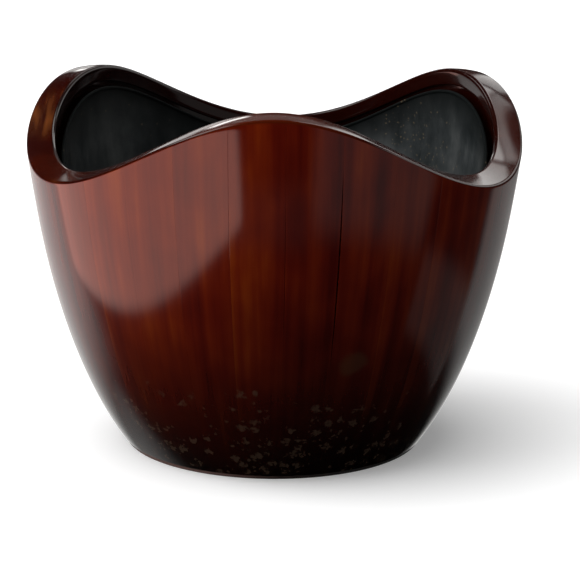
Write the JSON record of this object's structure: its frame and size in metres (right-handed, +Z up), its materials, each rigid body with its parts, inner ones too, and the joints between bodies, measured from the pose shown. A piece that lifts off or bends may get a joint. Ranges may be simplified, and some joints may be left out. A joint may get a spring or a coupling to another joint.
{
  "type": "lacquered stave planter bowl",
  "caption": "Open round planter bowl of glossy red-brown wooden staves with a rim in waves, a low dark foot and a dark grey metal liner that lifts out.",
  "frame": {"origin": "on the floor at the centre of the foot ring", "axes": "+Z up along the bowl's axis; one of the rim's three crests faces -Y"},
  "size_m": [0.4541, 0.4519, 0.337],
  "materials": {
    "stave_lacquer": "gloss clear lacquer over red-brown stain, darker towards the foot",
    "board_wood": "plain sanded wood",
    "foot_black": "black satin lacquer",
    "liner_metal": "satin slate grey"
  },
  "bodies": {
    "vessel": {"stave_01": "stave_lacquer", "stave_02": "stave_lacquer", "stave_03": "stave_lacquer", "stave_04": "stave_lacquer", "stave_05": "stave_lacquer", "stave_06": "stave_lacquer", "stave_07": "stave_lacquer", "stave_08": "stave_lacquer", "stave_09": "stave_lacquer", "stave_10": "stave_lacquer", "stave_11": "stave_lacquer", "stave_12": "stave_lacquer", "stave_13": "stave_lacquer", "stave_14": "stave_lacquer", "stave_15": "stave_lacquer", "stave_16": "stave_lacquer", "stave_17": "stave_lacquer", "stave_18": "stave_lacquer", "stave_19": "stave_lacquer", "stave_20": "stave_lacquer", "stave_21": "stave_lacquer", "stave_22": "stave_lacquer", "stave_23": "stave_lacquer", "stave_24": "stave_lacquer", "stave_25": "stave_lacquer", "stave_26": "stave_lacquer", "stave_27": "stave_lacquer", "stave_28": "stave_lacquer", "stave_29": "stave_lacquer", "stave_30": "stave_lacquer", "base_board": "board_wood", "foot_ring": "foot_black"},
    "liner": {"liner_wall": "liner_metal", "liner_floor": "liner_metal"}
  },
  "joints": [
    {"name": "liner_lift", "type": "slide", "parent": "vessel", "child": "liner", "axis": [0, 0, 1], "range_m": [0, 0.33]}
  ]
}
